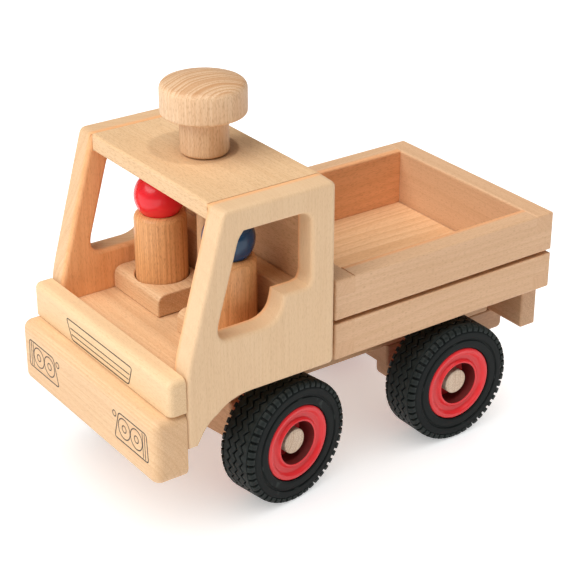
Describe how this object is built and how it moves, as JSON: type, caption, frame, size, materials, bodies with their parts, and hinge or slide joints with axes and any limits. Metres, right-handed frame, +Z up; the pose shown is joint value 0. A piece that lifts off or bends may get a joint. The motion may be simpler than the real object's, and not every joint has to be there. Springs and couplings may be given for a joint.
{
  "type": "toy dump truck",
  "caption": "Wooden toy dump truck with an open cab, roof steering knob, hinged box bed, rubber-tyred wheels on dowel axles and removable peg figures.",
  "frame": {"origin": "centre of the bounding box at ground level, under the truck", "axes": "+X towards the front bumper, +Y towards the truck's left side, +Z up"},
  "size_m": [0.2892, 0.1582, 0.2376],
  "materials": {
    "beech": "satin clear-finished beech with fine flecked grain",
    "oiled_beech": "oiled beech, darker and warmer than the boards",
    "tyre_rubber": "matt moulded rubber with a zig-zag tread",
    "red_plastic": "glossy moulded plastic",
    "red_lacquer": "high-gloss red lacquer on a turned wooden ball",
    "blue_lacquer": "high-gloss blue lacquer on a turned wooden ball",
    "hinge_steel": "plain zinc-plated steel"
  },
  "bodies": {
    "chassis": {"chassis_plank": "beech", "rear_axle_carrier": "beech", "cab_riser_rear": "beech", "cab_riser_front": "beech", "bed_bearer_block": "beech", "cab_side_left": "beech", "cab_side_right": "beech", "cab_roof": "beech", "cab_floor": "beech", "cab_rear_wall": "beech", "cab_back_ledge": "beech", "seat_left": "beech", "seat_right": "beech", "hood_board": "beech", "bumper_board": "beech", "hinge_leaf_chassis": "hinge_steel", "hinge_screw_chassis_1": "hinge_steel", "hinge_screw_chassis_2": "hinge_steel"},
    "steering": {"steering_knob": "beech", "steering_column": "beech", "front_axle_beam": "beech"},
    "front_wheels": {"front_axle": "beech", "front_rim_left": "red_plastic", "front_tyre_left": "tyre_rubber", "front_rim_right": "red_plastic", "front_tyre_right": "tyre_rubber"},
    "rear_wheels": {"rear_axle": "beech", "rear_rim_left": "red_plastic", "rear_tyre_left": "tyre_rubber", "rear_rim_right": "red_plastic", "rear_tyre_right": "tyre_rubber"},
    "bed": {"bed_side_left": "beech", "bed_side_right": "beech", "bed_front_wall": "beech", "bed_rear_wall": "beech", "bed_floor": "beech", "bed_hinge_plank": "beech", "hinge_leaf_bed": "hinge_steel", "hinge_pin": "hinge_steel", "hinge_screw_bed_1": "hinge_steel", "hinge_screw_bed_2": "hinge_steel"},
    "driver": {"driver_body": "oiled_beech", "driver_head": "blue_lacquer"},
    "passenger": {"passenger_body": "oiled_beech", "passenger_head": "red_lacquer"}
  },
  "joints": [
    {"name": "steering", "type": "hinge", "parent": "chassis", "child": "steering", "pos_m": [0.06135, 0, 0.12], "axis": [0, 0, 1], "range_deg": [-27, 9]},
    {"name": "front_axle_spin", "type": "hinge", "parent": "steering", "child": "front_wheels", "pos_m": [0.06135, 0, 0.0375], "axis": [-0.1564, 0.9877, 0], "continuous": true},
    {"name": "rear_axle_spin", "type": "hinge", "parent": "chassis", "child": "rear_wheels", "pos_m": [-0.06845, 0, 0.0375], "axis": [0, 1, 0], "continuous": true},
    {"name": "bed_tip", "type": "hinge", "parent": "chassis", "child": "bed", "pos_m": [-0.14255, 0, 0.0514], "axis": [0, -1, 0], "range_deg": [0, 50]},
    {"name": "driver_lift", "type": "slide", "parent": "chassis", "child": "driver", "axis": [0, 0, 1], "range_m": [0, 0.01]},
    {"name": "passenger_lift", "type": "slide", "parent": "chassis", "child": "passenger", "axis": [0, 0, 1], "range_m": [0, 0.01]}
  ]
}
